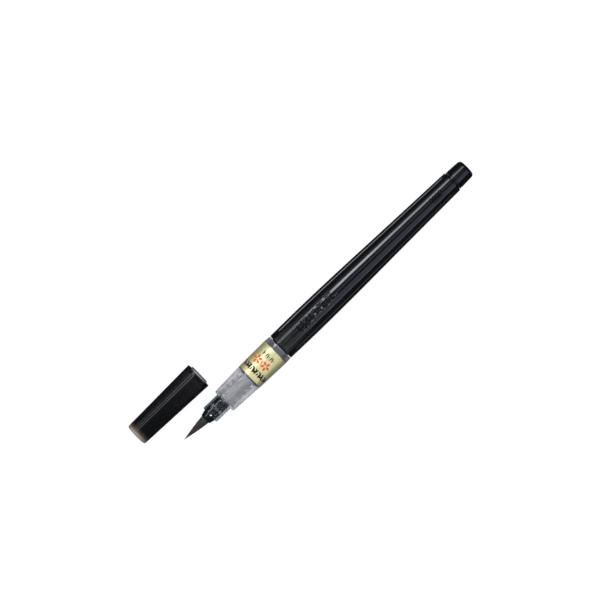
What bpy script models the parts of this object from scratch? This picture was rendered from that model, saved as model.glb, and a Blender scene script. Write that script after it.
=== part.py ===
"""A brush pen with a squeezable cartridge barrel, lying beside its pulled-off cap.

The pen lies along +X with its tip towards -X, and the cap lies parallel to it on the +Y side.
Every turned piece is drawn as (station, radius) points in millimetres, where a station is the
distance from the brush's tip, and is spun about the pen's or the cap's axis.
"""
import math

import bmesh
import bpy
from mathutils import Vector

MM = 0.001

# --- driving dimensions, millimetres ---------------------------------------------------------
GAP = 0.3                  # between faces that meet end to end
FIT = 0.15                 # between a piece and the bore that holds it
SIDES = 36                 # round outer pieces
INNER_SIDES = 24           # small round pieces inside

TUFT_LENGTH = 12.3         # free length of the hairs
TUFT_RADIUS = 1.88
TUFT_SHAPE = 1.32          # how fast the point fills out
TUFT_PIVOT = 12.0          # the hairs bend about this station
ROOT_START = TUFT_PIVOT + TUFT_RADIUS + GAP
ROOT_END = ROOT_START + 4.0
FEED_BORE = 1.15
FEED_RADIUS = 1.0
FEED_END = 31.0
FERRULE_BORE = 2.05
NECK_START = 14.9
NECK_RADIUS = 3.98
NECK_BORE = 3.1
SHOULDER = 23.2            # the cap's rim stops here
SHOULDER_RADIUS = 5.45
CAVITY_START = 24.0
CAVITY_BORE = 4.4
LABEL_START = 37.75
LABEL_END = 53.2
LABEL_FRONT_RADIUS = 6.24
LABEL_REAR_RADIUS = 6.48
LABEL_WALL = 0.15
TUBE_SEAT = 38.0           # the piercing tube's disc sits against this step
THREAD_BORE = 5.3
COLLAR_END = 55.6

THREAD_PITCH = 2.5
MALE_THREAD = (44.5, 51.5)
FEMALE_THREAD = (45.5, 52.5)
THREAD_TURN_STEPS = 24
CARTRIDGE_NECK = 4.55
CARTRIDGE_NECK_BORE = 3.4
CARTRIDGE_MOUTH = 42.0
BARREL_START = COLLAR_END + GAP
BARREL_END = 155.5
BARREL_WALL = 0.9
BARREL_CURVE = [(BARREL_START, 6.28), (70.5, 6.41), (91.7, 6.2), (121.8, 5.52), (BARREL_END, 4.8)]
PLUG_STEM = 4.0
PLUG_HEAD = 4.52
TAIL_END = 164.0
BALL_RADIUS = 1.7
BALL_STATION = 75.0
BALL_DROP = 2.3            # the ball lies this far below the pen's axis

CAP_LENGTH = 36.15
CAP_MOUTH = 22.95          # station of the cap's rim as it lies beside the pen
CAP_END = CAP_MOUTH - CAP_LENGTH
CAP_MOUTH_RADIUS = 6.05
CAP_END_RADIUS = 5.05
CAP_OFFSET = 15.2          # from the pen's axis to the cap's axis
CAP_BORE = 4.75
CAP_END_WALL = 1.6
LINER_LIP = 0.6            # the liner stands this far out of the rim
LINER_LIP_RADIUS = 4.45
LINER_DEPTH = 28.0
LINER_BORE = 4.12

PEN_RADIUS = LABEL_REAR_RADIUS
MID_STATION = (TAIL_END + CAP_END) / 2
MID_Y = (CAP_OFFSET + CAP_MOUTH_RADIUS - PEN_RADIUS) / 2
PEN_AXIS = Vector((-MID_STATION, -MID_Y, PEN_RADIUS)) * MM
CAP_AXIS = Vector((-MID_STATION, CAP_OFFSET - MID_Y, CAP_MOUTH_RADIUS)) * MM


# --- scene ---------------------------------------------------------------------------------
for old in list(bpy.data.objects):
    bpy.data.objects.remove(old, do_unlink=True)

PARTS = bpy.data.collections.new("brush_pen")
CUTTERS = bpy.data.collections.new("cutters")
bpy.context.scene.collection.children.link(PARTS)
bpy.context.scene.collection.children.link(CUTTERS)


def axis_empty(name, location):
    """An empty whose local +Z runs along world +X, at station 0 of an axis."""
    empty = bpy.data.objects.new(name, None)
    empty.location = location
    empty.rotation_euler = (0, math.pi / 2, 0)
    empty.empty_display_size = 0.01
    PARTS.objects.link(empty)
    return empty


pen_axis = axis_empty("pen_axis", PEN_AXIS)
cap_axis = axis_empty("cap_axis", CAP_AXIS)


def material(name, color, roughness, metallic=0.0, transmission=0.0):
    """A Principled material for one sub-part."""
    made = bpy.data.materials.new(name)
    made.use_nodes = True
    shader = made.node_tree.nodes["Principled BSDF"]
    shader.inputs["Base Color"].default_value = (*color, 1.0)
    shader.inputs["Roughness"].default_value = roughness
    shader.inputs["Metallic"].default_value = metallic
    shader.inputs["Transmission Weight"].default_value = transmission
    return made


def place(mesh, name, look, parent, collection=PARTS):
    """Put a mesh in the scene on one of the axes."""
    piece = bpy.data.objects.new(name, mesh)
    collection.objects.link(piece)
    piece.parent = parent
    mesh.materials.append(material(name, **look))
    return piece


def turned(name, outline, look, parent=pen_axis, sides=SIDES, origin=0.0):
    """Spin an outline of (station, radius) points, from the rear end down the outer side and back inside.

    An outline that starts and ends on the axis stays open, and any other is closed into a ring.
    The object's origin stands at the given station.
    """
    mesh = bpy.data.meshes.new(name)
    points = [(radius * MM, 0, (station - origin) * MM) for station, radius in outline]
    edges = [(i, i + 1) for i in range(len(points) - 1)]
    if outline[0][1] > 0:
        edges.append((len(points) - 1, 0))
    mesh.from_pydata(points, edges, [])
    piece = place(mesh, name, look, parent)
    piece.location = (0, 0, origin * MM)
    spin = piece.modifiers.new("spin", "SCREW")
    spin.axis = "Z"
    spin.angle = math.tau
    spin.steps = sides
    spin.render_steps = sides
    spin.use_merge_vertices = True
    spin.merge_threshold = 0.00001
    spin.use_smooth_shade = True
    return piece


def smooth_curve(points, pieces):
    """Points along a smooth curve through the given (station, radius) points."""
    ends = [points[0], *points, points[-1]]
    curve = []
    for before, start, stop, after in zip(ends, ends[1:], ends[2:], ends[3:]):
        span = stop[0] - start[0]
        rise_in = (stop[1] - before[1]) / (stop[0] - before[0]) * span
        rise_out = (after[1] - start[1]) / (after[0] - start[0]) * span
        for i in range(pieces):
            t = i / pieces
            radius = (
                start[1] * (2 * t**3 - 3 * t**2 + 1)
                + rise_in * (t**3 - 2 * t**2 + t)
                + stop[1] * (3 * t**2 - 2 * t**3)
                + rise_out * (t**3 - t**2)
            )
            curve.append((start[0] + span * t, radius))
    return [*curve, points[-1]]


def arc(center, radius, start, stop, pieces):
    """Points of an arc in (station, radius), angles in degrees from the +station direction."""
    turns = [math.radians(start + (stop - start) * i / pieces) for i in range(pieces + 1)]
    return [(center[0] + radius * math.cos(a), center[1] + radius * math.sin(a)) for a in turns]


def boolean(piece, cutter, operation):
    """Join a cutter to a piece or cut it away, and hide the cutter."""
    change = piece.modifiers.new(cutter.name, "BOOLEAN")
    change.operation = operation
    change.object = cutter
    cutter.hide_render = True
    cutter.display_type = "WIRE"


def thread_ridge(name, root, crest, span, phase):
    """One right-hand helical ridge with a trapezoid section, its root sunk into the wall it grows from."""
    start, stop = span
    turns = (stop - start) / THREAD_PITCH
    steps = round(turns * THREAD_TURN_STEPS)
    section = [(root, -0.55), (crest, -0.22), (crest, 0.22), (root, 0.55)]
    body = bmesh.new()
    rings = []
    for i in range(steps + 1):
        turn = i / THREAD_TURN_STEPS
        angle = math.tau * (turn + phase)
        station = start + THREAD_PITCH * turn
        rings.append([
            body.verts.new(Vector((r * math.cos(angle), r * math.sin(angle), station + z)) * MM)
            for r, z in section
        ])
    for ring, after in zip(rings, rings[1:]):
        for j in range(4):
            k = (j + 1) % 4
            body.faces.new((ring[j], ring[k], after[k], after[j]))
    body.faces.new(rings[0][::-1])
    body.faces.new(rings[-1])
    bmesh.ops.recalc_face_normals(body, faces=body.faces)
    mesh = bpy.data.meshes.new(name)
    body.to_mesh(mesh)
    body.free()
    return place(mesh, name, BLACK_PLASTIC, pen_axis, CUTTERS)


# --- colours -------------------------------------------------------------------------------
BLACK_GLOSS = {"color": (0.008, 0.009, 0.012), "roughness": 0.18}
BLACK_PLASTIC = {"color": (0.012, 0.012, 0.014), "roughness": 0.45}
NATURAL_WHITE = {"color": (0.72, 0.72, 0.7), "roughness": 0.4}
FROSTED_CLEAR = {"color": (0.44, 0.45, 0.5), "roughness": 0.35, "transmission": 0.5}
HAIR_BROWN = {"color": (0.035, 0.03, 0.03), "roughness": 0.6}
INK_TEAL = {"color": (0.008, 0.016, 0.02), "roughness": 0.22}
FIBRE_GREY = {"color": (0.12, 0.12, 0.13), "roughness": 0.8}
GOLD_FOIL = {"color": (0.7, 0.62, 0.36), "roughness": 0.3, "metallic": 0.7}
SEAL_RUBBER = {"color": (0.03, 0.03, 0.03), "roughness": 0.7}
BALL_STEEL = {"color": (0.6, 0.6, 0.62), "roughness": 0.2, "metallic": 1.0}


# --- brush -----------------------------------------------------------------------------------
def brush_tuft():
    """The free hairs: a long point on a dome that turns inside the ferrule's mouth."""
    dome = arc((TUFT_PIVOT, 0), TUFT_RADIUS, 0, 80, 5)
    point = [
        (TUFT_LENGTH * u, TUFT_RADIUS * (1 - (1 - u) ** TUFT_SHAPE))
        for u in (0.93, 0.8, 0.66, 0.52, 0.38, 0.25, 0.13, 0.05)
    ]
    return turned("brush_tuft", [*dome, *point, (0, 0)], HAIR_BROWN, origin=TUFT_PIVOT)


def tuft_root():
    """The hairs' glued heel, held in the ferrule behind the free hairs."""
    radius = FERRULE_BORE - FIT
    outline = [
        (ROOT_END, 0), (ROOT_END, radius * 0.8), (ROOT_END - 0.4, radius),
        (ROOT_START, radius), (ROOT_START, 0),
    ]
    return turned("tuft_root", outline, HAIR_BROWN, sides=INNER_SIDES)


def ferrule():
    """The dark nose cone that grips the tuft, with a shank through the neck and a flange behind it."""
    shank = NECK_BORE - FIT
    flange = CAVITY_BORE - FIT
    seat = CAVITY_START + FIT
    outline = [
        (seat + 1.0, flange), (seat, flange), (seat, shank), (NECK_START - 0.3, shank),
        (NECK_START - 0.6, shank - 0.1), (12.7, 2.48), (12.4, 2.36), (12.3, 2.2),
        (12.45, FERRULE_BORE), (seat + 1.0, FERRULE_BORE),
    ]
    return turned("ferrule", outline, INK_TEAL)


def feed_bush():
    """A bush behind the tuft's heel that centres the ink feed."""
    rear = CAVITY_START + 0.8
    radius = FERRULE_BORE - FIT
    outline = [(rear, radius), (20.0, radius), (20.0, FEED_BORE), (rear, FEED_BORE)]
    return turned("feed_bush", outline, NATURAL_WHITE, sides=INNER_SIDES)


def ink_feed():
    """The fibre rod that carries ink from the regulator to the tuft's heel."""
    front = ROOT_END + GAP
    edge = 0.15
    outline = [
        (FEED_END, 0), (FEED_END, FEED_RADIUS - edge), (FEED_END - edge, FEED_RADIUS),
        (front + edge, FEED_RADIUS), (front, FEED_RADIUS - edge), (front, 0),
    ]
    return turned("ink_feed", outline, FIBRE_GREY, sides=INNER_SIDES)


def flow_regulator():
    """A finned buffer that holds back surplus ink, bored for the feed and slotted along one side."""
    fin = CAVITY_BORE - FIT
    core = 2.9
    front = CAVITY_START + FIT + 1.0 + GAP
    rear = TUBE_SEAT - FIT
    fins = 5
    pitch = (rear - front) / (fins - 0.5)
    outline = []
    for i in reversed(range(fins)):
        base = front + i * pitch
        outline += [(base + pitch / 2, core), (base + pitch / 2, fin), (base, fin), (base, core)]
    outline = outline[1:-1]
    outline += [(front, FEED_BORE), (FEED_END + GAP, FEED_BORE), (FEED_END + 2 * GAP, 0.6), (rear, 0.6)]
    piece = turned("flow_regulator", outline, BLACK_PLASTIC, sides=INNER_SIDES)
    bpy.ops.mesh.primitive_cube_add(size=MM)
    slot = bpy.context.object
    slot.name = "regulator_slot"
    for group in list(slot.users_collection):
        group.objects.unlink(slot)
    CUTTERS.objects.link(slot)
    slot.parent = pen_axis
    slot.scale = (2.0, 0.5, 20)
    slot.location = (-(core + 0.7) * MM, 0, (front + rear) / 2 * MM)
    boolean(piece, slot, "DIFFERENCE")
    return piece


# --- section ---------------------------------------------------------------------------------
def section_radius(station):
    """Radius under the label and along the cone in front of it."""
    share = (station - SHOULDER) / (LABEL_START - SHOULDER)
    return SHOULDER_RADIUS + (6.05 - SHOULDER_RADIUS) * share**0.75


def label_radius(station):
    """The label's outer radius."""
    share = (station - LABEL_START) / (LABEL_END - LABEL_START)
    return LABEL_FRONT_RADIUS + (LABEL_REAR_RADIUS - LABEL_FRONT_RADIUS) * share


def section_body():
    """The frosted grip: a clear neck, a flared cone, a seat for the label and a threaded rear bore."""
    label_seat = LABEL_WALL + 0.1
    cone = [(s, section_radius(s)) for s in (36.9, 33.0, 29.0, 25.5, SHOULDER + 0.25)]
    outline = [
        (COLLAR_END, 6.2), (COLLAR_END - 0.2, 6.3), (LABEL_END + 0.25, 6.42),
        (LABEL_END + 0.1, label_radius(LABEL_END) - label_seat),
        (LABEL_START - 0.1, label_radius(LABEL_START) - label_seat),
        *cone, (SHOULDER, SHOULDER_RADIUS - 0.25), (SHOULDER, NECK_RADIUS),
        (NECK_START + 0.3, NECK_RADIUS), (NECK_START + 0.08, NECK_RADIUS - 0.1),
        (NECK_START, NECK_RADIUS - 0.3), (NECK_START, NECK_BORE),
        (CAVITY_START, NECK_BORE), (CAVITY_START, CAVITY_BORE), (TUBE_SEAT, CAVITY_BORE),
        (TUBE_SEAT, THREAD_BORE), (COLLAR_END, THREAD_BORE),
    ]
    piece = turned("section_body", outline, FROSTED_CLEAR)
    ridge = thread_ridge("female_thread", THREAD_BORE + 0.12, 4.78, FEMALE_THREAD, FEMALE_PHASE)
    boolean(piece, ridge, "UNION")
    return piece


def label_band():
    """The foil label wrapped round the section."""
    ends = (LABEL_END, LABEL_START)
    outer = [(s, label_radius(s)) for s in ends]
    inner = [(s, label_radius(s) - LABEL_WALL) for s in reversed(ends)]
    return turned("label_band", [*outer, *inner], GOLD_FOIL)


def piercing_tube():
    """The tube that opens the cartridge, on a disc that closes the section's cavity."""
    disc = THREAD_BORE - FIT
    seat = TUBE_SEAT + FIT
    outline = [
        (48.0, 1.0), (47.2, 1.55), (seat + 1.4, 1.55), (seat + 1.2, disc),
        (seat, disc), (seat, 0.8), (48.0, 0.8),
    ]
    return turned("piercing_tube", outline, NATURAL_WHITE, sides=INNER_SIDES)


# --- cartridge -------------------------------------------------------------------------------
def cartridge_body():
    """The squeezable barrel: a threaded neck, a long gently swelling wall and an open rear end."""
    outer = smooth_curve(BARREL_CURVE, 4)[::-1]
    inner = [
        (s, r - BARREL_WALL) for s, r in smooth_curve(BARREL_CURVE, 2) if 60 < s < BARREL_END - 6
    ]
    inner[0] = (60.0, 6.35 - BARREL_WALL)
    outline = [
        (BARREL_END, 4.6), (BARREL_END - 0.2, 4.79), *outer[1:-1],
        (BARREL_START + 0.25, 6.28), (BARREL_START, 6.05), (BARREL_START, CARTRIDGE_NECK),
        (CARTRIDGE_MOUTH + 0.3, CARTRIDGE_NECK), (CARTRIDGE_MOUTH, CARTRIDGE_NECK - 0.3),
        (CARTRIDGE_MOUTH, CARTRIDGE_NECK_BORE), (57.5, CARTRIDGE_NECK_BORE), *inner,
        (BARREL_END - 5.2, PLUG_STEM + 0.1), (BARREL_END, PLUG_STEM + 0.1),
    ]
    piece = turned("cartridge_body", outline, BLACK_GLOSS)
    ridge = thread_ridge("male_thread", CARTRIDGE_NECK - 0.12, 5.08, MALE_THREAD, 0.0)
    boolean(piece, ridge, "UNION")
    return piece


def mouth_insert():
    """The seal in the cartridge's mouth, which the ball closes until it is pushed in."""
    flange = CARTRIDGE_MOUTH - 0.2
    outer = CARTRIDGE_NECK_BORE - FIT
    outline = [
        (46.3, outer), (flange, outer), (flange, 4.2), (flange - 0.8, 4.2),
        (flange - 0.8, 1.75), (46.3, 1.75),
    ]
    return turned("mouth_insert", outline, NATURAL_WHITE, sides=INNER_SIDES)


def gasket():
    """The ring that seals the cartridge's neck in the section's rear collar."""
    thick = (THREAD_BORE - CARTRIDGE_NECK) / 2 - 0.1
    middle = (THREAD_BORE + CARTRIDGE_NECK) / 2
    ring = arc((54.6, middle), thick, 0, -360, 8)[:-1]
    return turned("gasket", ring[::-1], SEAL_RUBBER)


def seal_ball():
    """The ball that closed the mouth, loose in the ink after it was pushed in."""
    ball = turned("seal_ball", arc((0, 0), BALL_RADIUS, 0, 180, 10), BALL_STEEL, sides=INNER_SIDES)
    ball.location = (BALL_DROP * MM, 0, BALL_STATION * MM)
    return ball


def tail_plug():
    """The plug that closes the barrel's rear end, with a flat, round-edged head."""
    stem = PLUG_STEM
    head_start = BARREL_END + GAP
    rounding = 1.5
    edge = arc((TAIL_END - rounding, 4.22 - rounding), rounding, 0, 90, 6)
    outline = [
        (TAIL_END, 0), *edge, (TAIL_END - 5.0, 4.38),
        (head_start + 0.2, PLUG_HEAD), (head_start, PLUG_HEAD - 0.2), (head_start, stem - FIT),
        (BARREL_END - 4.6, stem - FIT), (BARREL_END - 5.0, stem - 0.6), (BARREL_END - 5.0, 0),
    ]
    return turned("tail_plug", outline, BLACK_GLOSS)


# --- cap -------------------------------------------------------------------------------------
def cap_radius(station):
    """The cap's outer radius, a straight taper."""
    share = (station - CAP_END) / CAP_LENGTH
    return CAP_END_RADIUS + (CAP_MOUTH_RADIUS - CAP_END_RADIUS) * share


def cap_bore(station):
    """The cap's inner radius, a straight taper from its mouth."""
    return CAP_BORE - (CAP_MOUTH - station) * 0.024


def cap_shell():
    """The tapered cap, closed at its far end."""
    rounding = 0.7
    edge = arc((CAP_END + rounding, cap_radius(CAP_END + rounding) - rounding), rounding, 90, 180, 5)
    floor = CAP_END + CAP_END_WALL
    outline = [
        (CAP_MOUTH, cap_bore(CAP_MOUTH) + 0.3), (CAP_MOUTH, 5.75), (CAP_MOUTH - 0.1, 5.95),
        (CAP_MOUTH - 0.4, cap_radius(CAP_MOUTH)), *edge, (CAP_END, 0), (floor, 0),
        (floor, cap_bore(floor) - 0.4), (floor + 0.4, cap_bore(floor)),
        (CAP_MOUTH - 0.3, cap_bore(CAP_MOUTH)),
    ]
    return turned("cap_shell", outline, BLACK_GLOSS, cap_axis)


def inner_cap():
    """The cup inside the cap that grips the pen's neck and keeps the brush wet."""
    mouth = CAP_MOUTH + LINER_LIP
    closed = CAP_MOUTH - LINER_DEPTH
    outline = [
        (mouth, LINER_LIP_RADIUS - 0.1), (mouth - 0.1, LINER_LIP_RADIUS),
        (CAP_MOUTH - 0.1, LINER_LIP_RADIUS), (CAP_MOUTH - 0.25, cap_bore(CAP_MOUTH) - FIT),
        (closed + 0.6, cap_bore(closed) - FIT), (closed, cap_bore(closed) - 0.8),
        (closed, 0), (closed + 0.9, 0), (closed + 0.9, 3.2), (closed + 1.6, 3.6),
        (CAP_MOUTH - 10.0, LINER_BORE), (mouth, LINER_BORE),
    ]
    return turned("inner_cap", outline, NATURAL_WHITE, cap_axis)


# The female ridge runs half a pitch from the male one.
FEMALE_PHASE = (FEMALE_THREAD[0] - MALE_THREAD[0]) / THREAD_PITCH + 0.5

for build in (
    brush_tuft, tuft_root, ferrule, feed_bush, ink_feed, flow_regulator, section_body, label_band,
    piercing_tube, cartridge_body, mouth_insert, gasket, seal_ball, tail_plug, cap_shell, inner_cap,
):
    build()
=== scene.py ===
"""The looks of a brush pen and its cap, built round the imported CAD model.

Every turned piece is drawn as (station, radius) points in millimetres, where a station is the distance
from the brush's tip along the pen. An angle is measured round an axis from straight up towards +Y.
"""
import math

import bmesh
import bpy
import numpy as np
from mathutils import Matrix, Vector


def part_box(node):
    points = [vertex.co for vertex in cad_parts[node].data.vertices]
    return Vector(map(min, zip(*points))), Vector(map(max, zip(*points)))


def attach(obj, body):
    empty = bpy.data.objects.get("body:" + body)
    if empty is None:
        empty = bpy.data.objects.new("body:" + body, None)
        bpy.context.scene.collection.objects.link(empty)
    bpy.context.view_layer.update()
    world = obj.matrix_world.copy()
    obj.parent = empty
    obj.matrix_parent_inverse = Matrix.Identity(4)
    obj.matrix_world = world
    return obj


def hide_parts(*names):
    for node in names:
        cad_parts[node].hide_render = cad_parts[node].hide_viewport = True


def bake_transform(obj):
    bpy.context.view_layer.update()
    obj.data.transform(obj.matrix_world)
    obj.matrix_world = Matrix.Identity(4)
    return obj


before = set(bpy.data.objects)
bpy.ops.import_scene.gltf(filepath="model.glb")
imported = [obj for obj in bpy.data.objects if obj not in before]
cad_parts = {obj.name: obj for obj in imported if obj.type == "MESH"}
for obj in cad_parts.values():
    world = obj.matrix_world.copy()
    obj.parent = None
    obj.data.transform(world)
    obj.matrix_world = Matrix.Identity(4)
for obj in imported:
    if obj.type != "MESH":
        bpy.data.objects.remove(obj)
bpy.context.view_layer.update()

MM = 0.001
TIP_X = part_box("brush_tuft")[0].x


# --- places, read from the frame ---------------------------------------------------------------
def centre_of(node):
    """The (y, z) of a turned node's axis."""
    low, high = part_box(node)
    return (low.y + high.y) / 2, (low.z + high.z) / 2


def stations(node):
    """A node's first and last station."""
    low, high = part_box(node)
    return (low.x - TIP_X) / MM, (high.x - TIP_X) / MM


def curve_through(points):
    """A function from station to radius: a smooth curve through (station, radius) points."""
    at, radii = (np.array(column, float) for column in zip(*points))
    slopes = np.gradient(radii, at)

    def radius_at(station):
        i = int(np.clip(np.searchsorted(at, station) - 1, 0, len(at) - 2))
        span = at[i + 1] - at[i]
        t = float(np.clip((station - at[i]) / span, 0, 1))
        return float(
            radii[i] * (2 * t**3 - 3 * t**2 + 1) + slopes[i] * span * (t**3 - 2 * t**2 + t)
            + radii[i + 1] * (3 * t**2 - 2 * t**3) + slopes[i + 1] * span * (t**3 - t**2)
        )

    return radius_at


PEN = centre_of("label_band")
CAP = centre_of("cap_shell")
NECK_START, COLLAR_END = stations("section_body")
LABEL_START, LABEL_END = stations("label_band")
CARTRIDGE_MOUTH, BARREL_END = stations("cartridge_body")
PLUG_START, TAIL_END = stations("tail_plug")
CAP_END, CAP_MOUTH = stations("cap_shell")
FERRULE_START, FERRULE_END = stations("ferrule")
LINER_END, LINER_MOUTH = stations("inner_cap")

# Sizes in millimetres that the nodes' boxes don't give.
GAP = 0.3
FIT = 0.15
BARREL_START = COLLAR_END + GAP
NECK_RADIUS = 3.98
NECK_BORE = 3.1
SHOULDER = 23.2
CAVITY_START = 24.0
CAVITY_BORE = 4.4
TUBE_SEAT = 38.0
THREAD_BORE = 5.3
THREAD_PITCH = 2.5
THREAD_SINK = 0.05
CARTRIDGE_NECK = 4.55
TUFT_LENGTH = 12.3
TUFT_RADIUS = 1.97
CAP_RIBS = 24
FOIL_TRIM = 0.04
barrel_radius = curve_through([
    (BARREL_START, 6.28), (70.5, 6.41), (91.7, 6.2), (121.8, 5.52), (BARREL_END, 4.8),
])
label_radius = curve_through([(LABEL_START, 6.24), (LABEL_END, 6.48)])


# --- shapes --------------------------------------------------------------------------------------
def place(station, radius, angle, axis):
    """The point at a station, a radius and an angle from straight up, in metres."""
    return Vector((
        TIP_X + station * MM,
        axis[0] + radius * MM * math.sin(angle),
        axis[1] + radius * MM * math.cos(angle),
    ))


def new_object(name, shape, look):
    """Put a finished shape in the scene, smooth and with its material."""
    mesh = bpy.data.meshes.new(name)
    shape.to_mesh(mesh)
    shape.free()
    mesh.shade_smooth()
    mesh.materials.append(look)
    made = bpy.data.objects.new(name, mesh)
    bpy.context.scene.collection.objects.link(made)
    return made


def add_piece(name, body, shape, look, replaced=None, sharp=40):
    """Add a piece that rides on one body and the CAD node that it stands for."""
    piece = new_object(name, shape, look)
    piece.data.set_sharp_from_angle(angle=math.radians(sharp))
    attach(piece, body)
    if replaced:
        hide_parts(replaced)


def revolve(outline, axis, sides=144, carve=None, angles=None):
    """Spin an outline round an axis. It is a loop, or starts and ends on the axis.

    carve(station, radius, angle) gives a radius of its own to each point.
    """
    shape = bmesh.new()
    if angles is None:
        angles = [math.tau * j / sides for j in range(sides)]
    on_axis = 1e-6
    rings = []
    for station, radius in outline:
        if radius < on_axis:
            rings.append([shape.verts.new(place(station, 0, 0, axis))])
            continue
        rings.append([
            shape.verts.new(place(station, carve(station, radius, a) if carve else radius, a, axis))
            for a in angles
        ])
    count = len(angles)
    pairs = list(zip(rings, rings[1:]))
    if outline[0][1] > on_axis:
        pairs.append((rings[-1], rings[0]))
    for ring, after in pairs:
        for j in range(count):
            k = (j + 1) % count
            corners = [
                ring[j % len(ring)], ring[k % len(ring)], after[k % len(after)], after[j % len(after)],
            ]
            corners = list(dict.fromkeys(corners))
            if len(corners) > 2:
                shape.faces.new(corners)
    bmesh.ops.recalc_face_normals(shape, faces=shape.faces)
    return shape


def arc(center, radius, start, stop, pieces):
    """Points of an arc in (station, radius), angles in degrees from the +station direction."""
    turns = [math.radians(start + (stop - start) * i / pieces) for i in range(pieces + 1)]
    return [(center[0] + radius * math.cos(a), center[1] + radius * math.sin(a)) for a in turns]


def run(start, stop, pieces, radius_at):
    """Points along a curve from one station to another."""
    return [(s, radius_at(s)) for s in np.linspace(start, stop, pieces + 1)]


def bridge(shape, rings):
    """Join rings of equal count with faces, and close the first and the last."""
    count = len(rings[0])
    for ring, after in zip(rings, rings[1:]):
        for j in range(count):
            k = (j + 1) % count
            shape.faces.new((ring[j], ring[k], after[k], after[j]))
    shape.faces.new(rings[0][::-1])
    shape.faces.new(rings[-1])


def sweep(shape, line, radii, sides):
    """Add a round strand along a line of points, closed at both ends."""
    rings = []
    for i, point in enumerate(line):
        ahead = (line[min(i + 1, len(line) - 1)] - line[max(i - 1, 0)]).normalized()
        across = ahead.orthogonal().normalized()
        over = ahead.cross(across)
        rings.append([
            shape.verts.new(point + (across * math.cos(a) + over * math.sin(a)) * radii[i])
            for a in (math.tau * j / sides for j in range(sides))
        ])
    bridge(shape, rings)


def thread(root, crest, start, stop, phase):
    """A right-hand helical ridge with a rounded trapezoid section, which fades in and out at its ends."""
    shoulder = root + (crest - root) * 0.85
    section = [
        (root, -0.55), (shoulder, -0.27), (crest, -0.17), (crest, 0.17), (shoulder, 0.27), (root, 0.55),
    ]
    per_turn = 64
    fade_steps = 10
    end_width = 0.3
    steps = round((stop - start) / THREAD_PITCH * per_turn)
    shape = bmesh.new()
    rings = []
    for i in range(steps + 1):
        turn = i / per_turn
        fade = min(1, i / fade_steps, (steps - i) / fade_steps)
        rings.append([
            shape.verts.new(place(
                start + THREAD_PITCH * turn + offset * (end_width + (1 - end_width) * fade),
                root + (radius - root) * fade, -math.tau * (turn + phase), PEN,
            ))
            for radius, offset in section
        ])
    bridge(shape, rings)
    bmesh.ops.remove_doubles(shape, verts=shape.verts, dist=1e-7)
    bmesh.ops.recalc_face_normals(shape, faces=shape.faces)
    return shape


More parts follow.
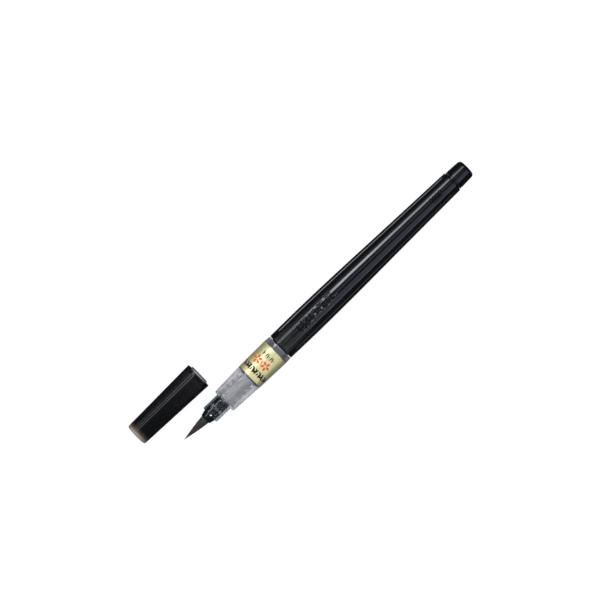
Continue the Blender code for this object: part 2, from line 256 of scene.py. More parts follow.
# --- materials -----------------------------------------------------------------------------------
class Look:
    """A Principled material with short calls for the nodes that the pen's materials share."""

    def __init__(self, name, **values):
        self.material = bpy.data.materials.new(name)
        self.material.use_nodes = True
        self.nodes = self.material.node_tree.nodes
        self.links = self.material.node_tree.links
        self.shader = self.nodes["Principled BSDF"]
        for socket, value in values.items():
            self.set(socket.replace("_", " "), value)

    def feed(self, socket, value):
        """Link a node's output to a socket, or set the socket's own number or colour."""
        if isinstance(value, bpy.types.NodeSocket):
            self.links.new(value, socket)
        elif socket.type == "RGBA":
            socket.default_value = (*value, 1)
        else:
            socket.default_value = value

    def set(self, name, value):
        """Feed one of the shader's sockets."""
        self.feed(self.shader.inputs[name], value)

    def node(self, kind, **values):
        """Add a node and feed its inputs by name."""
        made = self.nodes.new(kind)
        for name, value in values.items():
            self.feed(made.inputs[name], value)
        return made

    def coords(self, stretch=(1, 1, 1)):
        """The piece's own coordinates, in metres times a stretch."""
        source = self.node("ShaderNodeTexCoord")
        mapping = self.node("ShaderNodeMapping", Vector=source.outputs["Object"], Scale=stretch)
        return mapping.outputs["Vector"]

    def noise(self, scale, detail=3.0, stretch=(1, 1, 1)):
        """Noise whose grains are about 1/scale metres."""
        texture = self.node("ShaderNodeTexNoise", Scale=scale, Detail=detail, Vector=self.coords(stretch))
        return texture.outputs["Fac"]

    def along(self):
        """The station of a point, in metres from the tip."""
        split = self.node("ShaderNodeSeparateXYZ", Vector=self.coords())
        return self.math("SUBTRACT", split.outputs["X"], TIP_X)

    def beside(self):
        """How far a point lies from the pen's axis towards +Y, in metres."""
        split = self.node("ShaderNodeSeparateXYZ", Vector=self.coords())
        return self.math("SUBTRACT", split.outputs["Y"], PEN[0])

    def math(self, operation, *values):
        """One maths node."""
        made = self.nodes.new("ShaderNodeMath")
        made.operation = operation
        for socket, value in zip(made.inputs, values):
            self.feed(socket, value)
        return made.outputs[0]

    def wander(self, scale, reach):
        """Noise round zero that adds up to half the reach either way."""
        return self.math("MULTIPLY", self.math("SUBTRACT", self.noise(scale, 2), 0.5), reach)

    def spread(self, value, low, high, to_low=0.0, to_high=1.0):
        """Map a value's range to another, clamped."""
        made = self.nodes.new("ShaderNodeMapRange")
        names = ("Value", "From Min", "From Max", "To Min", "To Max")
        for name, number in zip(names, (value, low, high, to_low, to_high)):
            self.feed(made.inputs[name], number)
        return made.outputs["Result"]

    def between(self, first, second, to_low=0.0, to_high=1.0):
        """A value that goes from low to high between two stations."""
        return self.spread(self.along(), first * MM, second * MM, to_low, to_high)

    def ramp(self, value, *stops):
        """Colours along a value: (place, colour) pairs."""
        made = self.nodes.new("ShaderNodeValToRGB")
        self.feed(made.inputs["Fac"], value)
        elements = made.color_ramp.elements
        while len(elements) < len(stops):
            elements.new(0.5)
        for element, (position, color) in zip(elements, stops):
            element.position = position
            element.color = (*color, 1)
        return made.outputs["Color"]

    def mix(self, share, first, second):
        """One colour turning into another as a share goes from 0 to 1."""
        made = self.nodes.new("ShaderNodeMix")
        made.data_type = "RGBA"
        self.feed(made.inputs[0], share)
        colors = [s for s in made.inputs if s.type == "RGBA"]
        for socket, value in zip(colors, (first, second)):
            self.feed(socket, value)
        return next(s for s in made.outputs if s.type == "RGBA")

    def bump(self, height, distance, strength=1.0):
        """Raise the surface by a height."""
        made = self.node("ShaderNodeBump", Height=height, Distance=distance, Strength=strength)
        self.set("Normal", made.outputs["Normal"])


def gloss_black():
    """The barrel's and tail plug's polished black plastic, with the faint waviness of a moulding."""
    look = Look("gloss_black", IOR=1.5)
    look.set("Base Color", look.ramp(
        look.noise(900, 2), (0.35, (0.0018, 0.002, 0.0028)), (0.7, (0.003, 0.0034, 0.0045)),
    ))
    look.set("Roughness", look.spread(look.noise(2500, 4, (0.25, 1, 1)), 0.3, 0.7, 0.09, 0.14))
    look.bump(look.noise(350, 1, (0.4, 1, 1)), 0.00002)
    return look.material


def smoky_cap():
    """The cap's black plastic, which thins out to a smoky, translucent brown at its closed end, with a
    painted pale highlight at the very end.
    """
    look = Look("smoky_cap", IOR=1.5)
    smoky_length = 4.0
    ends = look.between(CAP_END, CAP_END + smoky_length)
    # The first, palest stops at the closed end are a painted highlight on its rounded rim; the brown fade
    # after them is the smoky plastic itself.
    look.set("Base Color", look.ramp(
        look.math("ADD", ends, look.wander(900, 0.12)),
        (0.0, (0.38, 0.35, 0.29)), (0.2, (0.3, 0.265, 0.215)), (0.34, (0.15, 0.12, 0.09)),
        (0.5, (0.06, 0.04, 0.026)), (0.75, (0.012, 0.009, 0.007)), (1.0, (0.002, 0.0022, 0.0028)),
    ))
    look.set("Transmission Weight", look.spread(ends, 0.0, 0.3, 0.25, 0.0))
    look.set("Roughness", look.spread(look.noise(2500, 4, (0.25, 1, 1)), 0.3, 0.7, 0.1, 0.16))
    look.bump(look.noise(900, 1, (0.3, 1, 1)), 0.00001)
    return look.material


def frosted_section():
    """Clear and inky at the neck with its -Y side left clear as painted light, frosted along the cone,
    with violet patches beside the label as painted reflections.
    """
    look = Look("frosted_section", IOR=1.2, Coat_Weight=1.0, Coat_Roughness=0.07, Coat_IOR=1.5)
    frost = look.between(SHOULDER - 0.8, SHOULDER + 1.6)
    milky = look.ramp(
        look.noise(700, 4, (0.1, 1, 1)),
        (0.3, (0.6, 0.6, 0.63)), (0.5, (0.72, 0.72, 0.75)), (0.7, (0.83, 0.83, 0.84)),
    )
    # The ink on the neck stops short of the -Y side, which stays clear and lighter as painted light.
    side = look.math("ADD", look.beside(), look.wander(500, 1.4 * MM))
    ink_and_side_light = look.ramp(
        look.spread(side, -3.4 * MM, -2.0 * MM), (0.3, (0.38, 0.4, 0.43)), (0.8, (0.1, 0.125, 0.15)),
    )
    collar = look.between(LABEL_END - 0.1, LABEL_END + 0.1, 0.0, 0.75)
    body = look.mix(collar, look.mix(frost, ink_and_side_light, milky), (0.2, 0.2, 0.205))
    # The collar's last quarter millimetre is pale grey: a painted highlight on its rear edge.
    rear_edge_highlight = look.between(COLLAR_END - 0.45, COLLAR_END - 0.25)
    body = look.mix(rear_edge_highlight, body, (0.8, 0.8, 0.8))
    # A dark line just in front of the label's start is a painted shadow at the label's edge.
    shadow_line_start = look.between(LABEL_START - 0.5, LABEL_START - 0.3)
    shadow_line_end = look.between(LABEL_START + 0.1, LABEL_START)
    body = look.mix(look.math("MULTIPLY", shadow_line_start, shadow_line_end), body, (0.07, 0.06, 0.06))
    # Violet patches before the label are painted reflections.
    patches = look.spread(look.noise(330, 2), 0.52, 0.66)
    violet = look.math("MULTIPLY", patches, look.between(LABEL_START - 2.6, LABEL_START - 0.6, 0.0, 0.6))
    look.set("Base Color", look.mix(violet, body, (0.26, 0.2, 0.55)))
    look.set("Roughness", look.spread(frost, 0, 1, 0.04, 0.32))
    look.set("Transmission Weight", look.spread(frost, 0, 1, 0.96, 0.84))
    look.bump(look.noise(2600, 3), 0.000008, 0.5)
    return look.material


def inky_plastic():
    """The ferrule: polished dark teal at its nose, with mottled ink films inside the clear neck."""
    look = Look("inky_plastic", IOR=1.5)
    mottle = look.noise(620, 4, (0.6, 1, 1))
    nose = look.ramp(mottle, (0.3, (0.003, 0.007, 0.011)), (0.8, (0.007, 0.013, 0.018)))
    film = look.ramp(
        mottle, (0.38, (0.004, 0.009, 0.016)), (0.56, (0.016, 0.027, 0.042)), (0.68, (0.08, 0.1, 0.13)),
        (0.78, (0.22, 0.24, 0.27)),
    )
    # The film turns lighter towards -Y as painted light on that side.
    painted_side_light = look.spread(look.beside(), -0.5 * MM, -1.6 * MM, 0.0, 0.75)
    film = look.mix(painted_side_light, film, (0.075, 0.095, 0.125))
    inside = look.between(NECK_START - 0.1, NECK_START + 0.5)
    look.set("Base Color", look.mix(inside, nose, film))
    look.set("Roughness", look.spread(mottle, 0.4, 0.7, 0.1, 0.16))
    look.bump(look.noise(900, 1), 0.000006, 0.6)
    return look.material


def hair():
    """Synthetic hairs darkened by ink, in streaks of dark and slightly browner tone along the pen."""
    look = Look("hair", IOR=1.5, Sheen_Weight=0.15)
    fine = look.noise(5200, 3, (0.05, 1, 1))
    look.set("Base Color", look.ramp(
        fine, (0.25, (0.01, 0.009, 0.01)), (0.5, (0.026, 0.022, 0.022)), (0.72, (0.06, 0.05, 0.048)),
    ))
    look.set("Roughness", look.spread(fine, 0.3, 0.7, 0.38, 0.55))
    return look.material


def gold_foil():
    """A pale gold metallised film, lightly brushed round the pen."""
    look = Look("gold_foil", Metallic=0.62, IOR=1.5)
    brushed = look.noise(1800, 3, (1, 0.2, 0.2))
    film = look.ramp(brushed, (0.3, (0.74, 0.68, 0.33)), (0.7, (0.85, 0.8, 0.46)))
    middle = (LABEL_START + LABEL_END) / 2
    reach = (LABEL_END - LABEL_START) / 2
    off_middle = look.math("ABSOLUTE", look.math("SUBTRACT", look.along(), middle * MM))
    # Both ends of the label darken over their last few tenths of a millimetre: a painted shadow line at
    # each edge.
    edges = look.spread(off_middle, (reach - 0.4) * MM, (reach - 0.15) * MM, 0.0, 0.85)
    look.set("Base Color", look.mix(edges, film, (0.1, 0.075, 0.03)))
    look.set("Roughness", look.spread(brushed, 0.3, 0.7, 0.3, 0.38))
    look.bump(look.noise(500, 2), 0.00001)
    return look.material


def print_ink(name, dark, light):
    """Printed ink with an uneven, slightly worn lay-down."""
    look = Look(name, IOR=1.25)
    look.set("Base Color", look.ramp(look.noise(2600, 3), (0.35, dark), (0.7, light)))
    look.set("Roughness", look.spread(look.noise(4000, 2), 0.3, 0.7, 0.35, 0.5))
    return look.material


def moulded(name, low, high, roughness, transmission=0.0, grain=1200):
    """A plain moulded plastic or rubber with a soft mottle and a fine skin."""
    look = Look(name, IOR=1.48, Transmission_Weight=transmission)
    look.set("Base Color", look.ramp(look.noise(grain, 3), (0.3, low), (0.7, high)))
    skin = look.noise(grain * 2, 3)
    look.set("Roughness", look.spread(skin, 0.3, 0.7, roughness - 0.06, roughness + 0.06))
    look.bump(look.noise(grain * 3, 2), 0.00001, 0.6)
    return look.material


def liner_plastic():
    """Natural plastic, with painted shade along the edge of the lip."""
    look = Look("liner_plastic", IOR=1.48)
    # The lip's edge is darkened, with a noisy border, as painted shade.
    edge = look.math("ADD", look.along(), look.math("MULTIPLY", look.noise(800, 2), 0.2 * MM))
    lip_shade = look.spread(edge, (LINER_MOUTH - 0.3) * MM, (LINER_MOUTH - 0.12) * MM)
    clean = look.ramp(look.noise(1200, 3), (0.3, (0.34, 0.34, 0.33)), (0.7, (0.44, 0.44, 0.43)))
    look.set("Base Color", look.mix(lip_shade, clean, (0.03, 0.035, 0.04)))
    look.set("Roughness", look.spread(look.noise(2400, 3), 0.3, 0.7, 0.28, 0.4))
    return look.material


def ball_steel():
    """Polished steel with fine scratches."""
    look = Look("ball_steel", Metallic=1.0)
    scratch = look.noise(6000, 4, (0.2, 1, 1))
    look.set("Base Color", look.ramp(scratch, (0.3, (0.5, 0.5, 0.52)), (0.7, (0.66, 0.66, 0.68))))
    look.set("Roughness", look.spread(scratch, 0.3, 0.7, 0.12, 0.25))
    return look.material


GLOSS_BLACK = gloss_black()
FROSTED = frosted_section()
INKY = inky_plastic()
HAIR = hair()
NATURAL = moulded("natural_plastic", (0.6, 0.6, 0.58), (0.72, 0.72, 0.7), 0.35, 0.15)
LINER = liner_plastic()
REGULATOR = moulded("regulator_plastic", (0.07, 0.07, 0.09), (0.13, 0.13, 0.16), 0.45)
FIBRE = moulded("feed_fibre", (0.05, 0.05, 0.06), (0.11, 0.11, 0.12), 0.7, grain=4000)
RUBBER = moulded("seal_rubber", (0.02, 0.02, 0.02), (0.04, 0.04, 0.04), 0.65)


# --- the barrel ----------------------------------------------------------------------------------
def barrel_marks():
    """Plain wave lines along the barrel: two that cross near the grip and a short one near its tail.

    They come as (station, arc length) rows in millimetres.
    """
    t = np.linspace(0, 1, 520)
    start, length, waves = 66.2, 21.6, 9
    phase = math.tau * waves * t
    swell = 1.15 + 0.4 * np.sin(math.pi * t) + 0.35 * np.sin(9.3 * t + 0.6)
    drift = -0.2 + 1.3 * t
    along = start + length * t + 0.5 * np.cos(phase)
    long_lines = [
        np.stack([along, swell * np.sin(phase * pitch + turn) + drift], axis=1)
        for pitch, turn in ((1.0, 0.0), (0.5, 1.9))
    ]
    u = np.linspace(0, 1, 110)
    tail_line = np.stack([142.9 + 5.9 * u, 1.15 * np.sin(math.tau * 3.5 * u) - 0.2], axis=1)
    return np.concatenate([*long_lines, tail_line])


def barrel():
    """The glossy barrel with its threaded neck, hollow inside, and the marks pressed into its wall."""
    marks = barrel_marks()
    depth = 0.23
    width = 0.4
    grip_marks = (64, 90)
    tail_marks = (142, 150)
    facets = ((75.8, -0.1), (79.6, -0.1))
    facet_length = 0.36
    facet_width = 0.6
    facet_slope = 0.34

    def carve(station, radius, angle):
        marked = any(first < station < last for first, last in (grip_marks, tail_marks))
        if not marked or radius < 4.6 or math.cos(angle) < 0.7:
            return radius
        side = radius * math.sin(angle)
        for facet, middle in facets:
            if abs(station - facet) < facet_length and abs(side - middle) < facet_width:
                return radius - facet_slope * (side - middle + facet_width)
        near = np.hypot(marks[:, 0] - station, marks[:, 1] - side).min()
        return radius - depth * max(0.0, 1 - (near / width) ** 2)

    fine = [math.radians(a) for a in np.arange(-34, 34, 0.85)]
    coarse = [math.radians(a) for a in np.arange(34, 326, 2.5)]
    front = BARREL_START
    rounding = 0.35
    wall = 0.9
    mouth_bore = 3.4
    plug_seat = 4.1
    nose = arc((front + rounding, barrel_radius(front + 0.4) - rounding), rounding, 90, 180, 5)
    outer = [
        *run(BARREL_END - 0.4, 150.5, 8, barrel_radius), *run(150.0, 142.0, 72, barrel_radius),
        *run(141.5, 92, 40, barrel_radius), *run(91.8, 90, 5, barrel_radius),
        *run(89.6, 64.4, 230, barrel_radius), *run(62.5, front + 0.5, 10, barrel_radius),
    ]
    inner = run(60, BARREL_END - 6, 19, lambda s: barrel_radius(s) - wall)
    outline = [
        (BARREL_END, 4.45), (BARREL_END - 0.1, 4.68), (BARREL_END - 0.25, 4.77), *outer, *nose,
        (front, CARTRIDGE_NECK), (CARTRIDGE_MOUTH + 0.3, CARTRIDGE_NECK),
        (CARTRIDGE_MOUTH, CARTRIDGE_NECK - 0.3), (CARTRIDGE_MOUTH, mouth_bore),
        (57.5, mouth_bore), *inner, (BARREL_END - 5.2, plug_seat), (BARREL_END, plug_seat),
    ]
    shape = revolve(outline, PEN, angles=fine + coarse, carve=carve)
    add_piece("barrel", "cartridge", shape, GLOSS_BLACK, "cartridge_body")
    ridge = thread(CARTRIDGE_NECK - THREAD_SINK, 5.08, 44.5, 51.5, 0.0)
    add_piece("barrel_thread", "cartridge", ridge, GLOSS_BLACK)


def tail_plug():
    """The stepped plug at the barrel's end, with a well rounded, flat-topped head."""
    head = BARREL_END + GAP
    rounding = 1.5
    groove = 4.3
    shank = 3.85
    edge = arc((TAIL_END - rounding, 4.22 - rounding), rounding, 0, 90, 14)
    outline = [
        (TAIL_END, 0), (TAIL_END, 1.4), *edge, (TAIL_END - 3, 4.3), (TAIL_END - 5, 4.38),
        (head + 1.6, 4.46), (head + 0.95, 4.48), (head + 0.82, groove), (head + 0.62, groove),
        (head + 0.5, 4.5), (head + 0.2, 4.51), (head + 0.08, 4.45), (head, 4.3), (head, shank),
        (PLUG_START + 0.4, shank), (PLUG_START, 3.4), (PLUG_START, 0),
    ]
    add_piece("tail_cap", "cartridge", revolve(outline, PEN), GLOSS_BLACK, "tail_plug")


# --- the section -----------------------------------------------------------------------------------
def cone_radius(station):
    """The cone's radius, flaring from the shoulder to the label."""
    share = (station - SHOULDER) / (LABEL_START - SHOULDER)
    return 5.45 + 0.6 * max(share, 0) ** 0.75


def section():
    """The clear neck, frosted cone, label seat and rear collar, with the bores inside."""
    seat = 0.25
    shoulder_round = 0.45
    foot_round = 0.25
    rim_round = 0.4
    collar = arc((COLLAR_END - 0.35, 5.9), 0.35, 0, 90, 6)
    shoulder_start = SHOULDER + shoulder_round
    shoulder = arc(
        (shoulder_start, cone_radius(shoulder_start) - shoulder_round), shoulder_round, 90, 180, 8,
    )
    foot = arc((SHOULDER - foot_round, NECK_RADIUS + foot_round), foot_round, 0, -90, 5)
    rim = arc((NECK_START + rim_round, NECK_RADIUS - rim_round), rim_round, 90, 180, 8)
    outline = [
        *collar, (LABEL_END + 0.3, 6.4), (LABEL_END + 0.12, 6.38),
        (LABEL_END + 0.1, label_radius(LABEL_END) - seat),
        (LABEL_START - 0.1, label_radius(LABEL_START) - seat),
        *run(LABEL_START - 0.4, SHOULDER + 0.6, 14, cone_radius), *shoulder,
        (SHOULDER, NECK_RADIUS + 0.5), *foot, (NECK_START + 4, NECK_RADIUS), *rim,
        (NECK_START, NECK_BORE + 0.1), (NECK_START + 0.1, NECK_BORE), (CAVITY_START, NECK_BORE),
        (CAVITY_START, CAVITY_BORE), (TUBE_SEAT, CAVITY_BORE), (TUBE_SEAT, THREAD_BORE),
        (COLLAR_END, THREAD_BORE),
    ]
    add_piece("grip_section", "grip", revolve(outline, PEN), FROSTED, "section_body")
    ridge = thread(THREAD_BORE + THREAD_SINK, 4.78, 45.5, 52.5, 0.9)
    add_piece("grip_thread", "grip", ridge, FROSTED)


def neck_bubbles_and_glint():
    """A white bead at the neck's rim as a painted highlight, and the air bubbles caught in the ink behind
    it.
    """
    film = 3.02
    # Each is a station, a radius, an angle in degrees, a size and a stretch along the pen.
    # The first spot is the white bead, a painted highlight on the neck's rim; the others are air bubbles.
    spots = [
        (NECK_START + 0.45, 3.65, -6, 0.43, 1.3), (20.5, film, -29, 0.26, 1.2),
        (23.4, film, 4, 0.24, 1.4), (16.6, film, -34, 0.13, 1.0), (17.6, film, -31, 0.15, 1.0),
    ]
    chance = np.random.default_rng(3)
    for _ in range(26):
        spots.append((
            chance.uniform(NECK_START + 0.8, SHOULDER + 0.6), film,
            chance.uniform(-60, 75), chance.uniform(0.07, 0.2), chance.uniform(1.0, 1.8),
        ))
    shape = bmesh.new()
    for station, radius, angle, size, stretch in spots:
        made = bmesh.ops.create_uvsphere(shape, u_segments=16, v_segments=10, radius=size * MM)
        middle = place(station, radius, math.radians(angle), PEN)
        for vertex in made["verts"]:
            vertex.co.x *= stretch
            vertex.co += middle
    look = moulded("bubbles_and_painted_glint", (0.85, 0.87, 0.9), (0.97, 0.97, 0.98), 0.12)
    add_piece("neck_bubbles_and_glint", "grip", shape, look)


# --- the label -------------------------------------------------------------------------------------
def foil_label():
    """The foil wrapped round its seat, with softened edges and the overlap where its ends meet."""
    overlap_start = math.pi
    overlap_width = math.radians(16)
    overlap_height = 0.03
    first = label_radius(LABEL_START)
    last = label_radius(LABEL_END)

    def carve(station, radius, angle):
        outside = radius >= label_radius(station) - 0.1
        overlaps = 0 < angle - overlap_start < overlap_width
        return radius + (overlap_height if outside and overlaps else 0)

    outline = [
        (LABEL_END - 0.03, last - 0.12), (LABEL_END, last - 0.07),
        *run(LABEL_END - 0.05, LABEL_START + 0.05, 24, lambda s: label_radius(s) - FOIL_TRIM),
        (LABEL_START, first - 0.07), (LABEL_START + 0.03, first - 0.12),
        (LABEL_START + 0.05, first - 0.15), (LABEL_END - 0.05, last - 0.15),
    ]
    shape = revolve(outline, PEN, sides=180, carve=carve)
    add_piece("foil_label", "grip", shape, gold_foil(), "label_band", sharp=60)


def dab(shape, start, stop, width, bend=0.0):
    """Add a printed dab: a pointed stroke between two (station, arc length) points on the label."""
    across = 6
    lengthwise = 14
    above_foil = 0.015
    start, stop = np.array(start, float), np.array(stop, float)
    ahead = stop - start
    normal = np.array([-ahead[1], ahead[0]]) / np.hypot(*ahead)
    rows = []
    for i in range(lengthwise + 1):
        t = i / lengthwise
        middle = start + ahead * t + normal * bend * math.sin(math.pi * t)
        half = width / 2 * math.sin(math.pi * (0.06 + 0.88 * t)) ** 0.6
        row = []
        for j in range(across + 1):
            station, side = middle + normal * half * (2 * j / across - 1)
            radius = label_radius(station) - FOIL_TRIM + above_foil
            row.append(shape.verts.new(place(station, radius, side / radius, PEN)))
        rows.append(row)
    for row, after in zip(rows, rows[1:]):
        for j in range(across):
            shape.faces.new((row[j], row[j + 1], after[j + 1], after[j]))


def blossom(shape, center, size, turn):
    """Add a flower of five plain dabs."""
    petals = 5
    for i in range(petals):
        a = turn + math.tau * i / petals
        ahead = np.array([math.cos(a), math.sin(a)])
        start = np.array(center) + ahead * size * 0.24
        dab(shape, start, start + ahead * size * 0.78, size * 0.5)


def label_print():
    """Three rows of plain dabs round the label: bold black, orange blossoms, and fine black."""
    bold_pitch = 1.85
    fine_pitch = 1.25
    leans = (0.8, -0.5, 0.1)
    dark = bmesh.new()
    for i in range(8):
        side = 6.9 - bold_pitch * i
        lean = leans[i % 3]
        dab(dark, (40.1, side - lean / 2), (42.6, side + lean / 2), 0.9, bend=0.25 * (-1) ** i)
        dab(dark, (40.3, side - 0.75), (41.6, side - 1.1), 0.55)
        dab(dark, (41.9, side + 0.55), (42.7, side + 0.8), 0.5)
    for i in range(5):
        side = 3.1 - fine_pitch * i
        odd = i % 2
        dab(dark, (48.4, side), (50.6, side + 0.35 * (-1) ** i), 0.45)
        dab(dark, (49.2 + 0.5 * odd, side - 0.7), (49.9 + 0.4 * odd, side - 0.25), 0.3)
    warm = bmesh.new()
    blossom(warm, (45.75, 3.3), 2.1, 0.3)
    blossom(warm, (45.75, -1.5), 2.1, 0.9)
    dab(warm, (44.9, 6.2), (46.3, 6.9), 0.7)
    dab(warm, (45.0, 0.8), (46.5, 1.0), 0.5)
    black = print_ink("print_black", (0.012, 0.012, 0.01), (0.04, 0.036, 0.028))
    orange = print_ink("print_orange", (0.62, 0.08, 0.02), (0.8, 0.16, 0.045))
    for name, shape, look in (("label_dabs_dark", dark, black), ("label_dabs_warm", warm, orange)):
        bmesh.ops.recalc_face_normals(shape, faces=shape.faces)
        add_piece(name, "grip", shape, look)


# --- the brush ---------------------------------------------------------------------------------------
def ferrule():
    """The nose cone, its shank inside the clear neck and its flange behind it."""
    seat = CAVITY_START + FIT
    flange = CAVITY_BORE - FIT
    shank = NECK_BORE - FIT
    bore = 2.05
    lip = arc((FERRULE_START + 0.16, 2.2), 0.16, 90, 270, 8)
    outline = [
        (FERRULE_END, flange), (seat, flange), (seat, shank), (NECK_START + 0.2, shank),
        (NECK_START - 0.25, 2.92), (NECK_START - 0.5, 2.88), (13.6, 2.7), (12.7, 2.5), *lip,
        (12.6, bore), (FERRULE_END, bore),
    ]
    add_piece("nose_cone", "grip", revolve(outline, PEN), INKY, "ferrule")


def tuft_radius(station):
    """The tuft's radius: a long point that fills out towards the ferrule."""
    share = min(max(station / TUFT_LENGTH, 0), 1)
    return TUFT_RADIUS * (1 - (1 - share) ** 1.32)


def tuft_core_radius(station):
    """The core's radius, a little inside the hairs and blunt at the very tip."""
    return max(tuft_radius(station) * 0.96, 0.11 + 0.04 * station)


def hair_strands():
    """Some hundreds of fine hairs, most of them ending a little way back from the tip."""
    count = 620
    root = 13.4
    farthest_end = 7
    chance = np.random.default_rng(7)
    shape = bmesh.new()
    for _ in range(count):
        angle = chance.uniform(0, math.tau)
        end = chance.choice([0.0, 1.0], p=[0.35, 0.65]) * chance.uniform(0, 1) ** 2 * farthest_end + 0.02
        depth = chance.uniform(0.86, 0.985)
        twist = chance.normal(0, 0.10)
        thickness = chance.uniform(0.022, 0.045)
        line, radii = [], []
        for t in np.linspace(0, 1, 12):
            station = root + (end - root) * t
            line.append(place(station, tuft_radius(station) * depth, angle + twist * t, PEN))
            radii.append(thickness * MM * (1 - 0.8 * t**2))
        sweep(shape, line, radii, sides=4)
    return shape


def tuft():
    """A core and its hairs, drawn together to a point."""
    heel = [(15.5, 0), (15.5, 1.7), (13.5, 1.8)]
    tip = [(0.02, 0.07), (0.0, 0)]
    core = revolve([*heel, *run(12.0, 0.3, 34, tuft_core_radius), *tip], PEN, sides=48)
    for name, shape in (("tuft_core", core), ("tuft_hairs", hair_strands())):
        piece = new_object(name, shape, HAIR)
        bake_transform(piece)
        if name == "tuft_core":
            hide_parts("brush_tuft")


# --- the cap -----------------------------------------------------------------------------------------
def cap_bore(station):
    """The cap's bore, widest at its mouth."""
    return 4.75 - (CAP_MOUTH - station) * 0.024


def cap():
    """The ribbed cap, with a plain band at its rim and a rounded, smoky closed end."""
    rim_band = 0.9
    rib_depth = 0.11
    groove_at = math.radians(2.2)

    def outer(station):
        return 5.05 + (station - CAP_END) / (CAP_MOUTH - CAP_END)

    def carve(station, radius, angle):
        if radius < 4.35 or radius < cap_bore(station) + 0.4:
            return radius
        from_rim = max(0, (CAP_MOUTH - rim_band - station) / 0.6)
        from_end = max(0, (station - CAP_END) / 1.2 + 0.35)
        rib = abs(math.sin(CAP_RIBS / 2 * (angle - groove_at)))
        return radius - rib_depth * min(1, from_rim, from_end) * (1 - rib)

    rounding = 0.8
    rim_round = 0.25
    edge_start = CAP_END + rounding
    edge = arc((edge_start, outer(edge_start) - rounding), rounding, 90, 180, 12)
    rim = arc((CAP_MOUTH - rim_round, outer(CAP_MOUTH) - rim_round), rim_round, 0, 90, 8)
    bore_end = CAP_END + 1.6
    outline = [
        (CAP_MOUTH, 5.1), *rim, *run(CAP_MOUTH - 0.45, CAP_MOUTH - 1.7, 8, outer),
        *run(CAP_MOUTH - 2.2, edge_start + 0.2, 30, outer), *edge, (CAP_END, 3.0), (CAP_END, 0),
        (bore_end, 0), (bore_end, cap_bore(bore_end) - 0.4), (bore_end + 0.4, cap_bore(bore_end)),
        (CAP_MOUTH - 0.3, cap_bore(CAP_MOUTH)), (CAP_MOUTH, cap_bore(CAP_MOUTH) + 0.3),
    ]
    shape = revolve(outline, CAP, sides=CAP_RIBS * 16, carve=carve)
    add_piece("cap_body", "cap", shape, smoky_cap(), "cap_shell")


def cap_liner():
    """The pale cup in the cap, whose rounded lip stands out of the rim."""
    lip_round = 0.12
    lip = arc((LINER_MOUTH - lip_round, 4.32), lip_round, 0, 90, 5)
    brow = arc((LINER_MOUTH - lip_round, 4.26), lip_round, -90, 0, 5)
    closed = LINER_END
    outline = [
        *lip, (CAP_MOUTH - 0.1, 4.44), (CAP_MOUTH - 0.25, cap_bore(CAP_MOUTH) - FIT),
        (closed + 0.6, cap_bore(closed) - FIT), (closed, cap_bore(closed) - 0.8), (closed, 0),
        (closed + 0.9, 0), (closed + 0.9, 3.2), (closed + 1.6, 3.6), (CAP_MOUTH - 10, 4.12), *brow,
    ]
    add_piece("cap_liner", "cap", revolve(outline, CAP), LINER, "inner_cap")


# --- the CAD pieces that stay ----------------------------------------------------------------------
def finish_cad_nodes():
    """Give each piece that shows as packed its own material."""
    looks = {
        "tuft_root": HAIR, "feed_bush": NATURAL, "ink_feed": FIBRE, "flow_regulator": REGULATOR,
        "piercing_tube": NATURAL, "gasket": RUBBER, "mouth_insert": NATURAL, "seal_ball": ball_steel(),
    }
    for name, look in looks.items():
        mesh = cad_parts[name].data
        mesh.materials.clear()
        mesh.materials.append(look)


# --- studio ------------------------------------------------------------------------------------------
def softbox(name, angle, distance, size, middle, radiance, tint=(1, 1, 1)):
    """A rectangular light over the pen, at an angle from straight up towards +Y.

    Its size is along x and across, and middle is its place along x.
    """
    data = bpy.data.lights.new(name, "AREA")
    data.shape = "RECTANGLE"
    data.size, data.size_y = size
    data.energy = radiance * size[0] * size[1] * math.pi
    data.color = tint
    light = bpy.data.objects.new(name, data)
    bpy.context.scene.collection.objects.link(light)
    tilt = math.radians(angle)
    light.location = (middle, PEN[0] + distance * math.sin(tilt), distance * math.cos(tilt))
    light.rotation_euler = (-tilt, 0, 0)
    return light


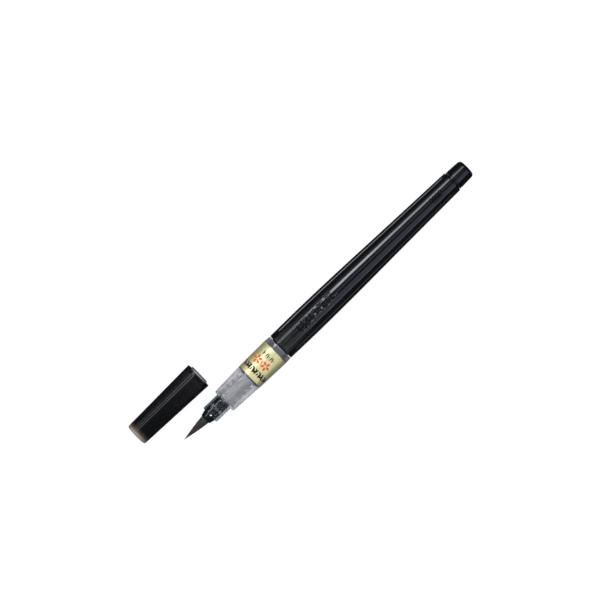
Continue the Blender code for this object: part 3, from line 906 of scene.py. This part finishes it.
def lights():
    """A dim room and the softboxes whose reflections run along the barrel, cap and label."""
    cool = (0.97, 0.99, 1.06)
    blue = (0.86, 0.93, 1.15)
    warm = (1, 0.98, 0.9)
    softbox("key_strip", 37, 0.75, (0.72, 0.27), 0.29, 2.3, cool)
    softbox("key_cap", 39, 0.75, (0.465, 0.1), -0.3175, 6.4, cool)
    softbox("key_middle", 37, 0.745, (0.2, 0.23), 0.1, 3.3, cool)
    softbox("key_core", 37, 0.74, (0.06, 0.2), 0.07, 4.6, cool)
    softbox("key_halo", 50, 0.8, (0.3, 0.5), 0.12, 0.3, blue)
    softbox("top_strip", 7, 1.0, (0.32, 0.26), 0.11, 0.62, blue)
    softbox("fill_panel", -35, 0.9, (0.7, 0.66), 0.31, 0.8, blue)
    softbox("fill_edge", -53, 0.85, (0.7, 0.045), 0.31, 2.4, blue)
    softbox("label_panel", -5, 0.72, (0.05, 1.3), -0.08, 1.8, warm)
    softbox("label_left", 66, 0.8, (0.05, 0.5), -0.085, 3.2, warm)
    softbox("label_right", -66, 0.8, (0.05, 0.5), -0.085, 2.9, warm)

    # Two strips that lie on the floor and face up give the barrel the thin lines along its sides.
    strip_length = 0.096
    strip_middle = 0.032
    for side, width, radiance in ((0.029, 0.011, 3.6), (-0.046, 0.02, 0.9)):
        strip = softbox("rim_strip", 0, 0, (strip_length, width), 0, radiance)
        strip.location = (strip_middle, PEN[0] + side, 0.0005)
        strip.rotation_euler = (math.pi, 0, 0)
        strip.visible_camera = False
        strip.visible_diffuse = False

    room_light = softbox("room_light", 0, 1.5, (1.6, 1.6), 0, 2.6)
    room_light.visible_glossy = False
    world = bpy.data.worlds.new("room")
    world.use_nodes = True
    world.node_tree.nodes["Background"].inputs["Color"].default_value = (0.055, 0.06, 0.075, 1)
    bpy.context.scene.world = world


def floor():
    """A pale floor just below the pen, which doesn't show in the black barrel."""
    look = Look("pale_floor", Roughness=0.9, Emission_Color=(1, 1, 1), Emission_Strength=0.9)
    mottle = look.noise(40, 2)
    look.set("Base Color", look.ramp(mottle, (0.3, (0.12, 0.12, 0.12)), (0.7, (0.14, 0.14, 0.14))))
    shape = bmesh.new()
    bmesh.ops.create_grid(shape, x_segments=2, y_segments=2, size=1.5)
    made = new_object("floor", shape, look.material)
    made.location.z = -0.00005
    made.visible_glossy = False
    made.visible_diffuse = False


def camera():
    """Straight above, turned so that the pen runs from the lower left to the upper right."""
    view_width = 0.2507
    height = 1.1
    sensor = 36
    turn = math.radians(-43.9)
    data = bpy.data.cameras.new("camera")
    data.sensor_width = sensor
    data.lens = sensor * (height - PEN[1]) / view_width
    made = bpy.data.objects.new("camera", data)
    bpy.context.scene.collection.objects.link(made)
    made.location = (-0.00007, 0.0011, height)
    made.rotation_euler = (0, 0, turn)
    bpy.context.scene.camera = made
    bpy.context.scene.view_settings.view_transform = "Standard"


barrel()
tail_plug()
section()
neck_bubbles_and_glint()
foil_label()
label_print()
ferrule()
tuft()
cap()
cap_liner()
finish_cad_nodes()
lights()
floor()
camera()

bpy.context.view_layer.update()
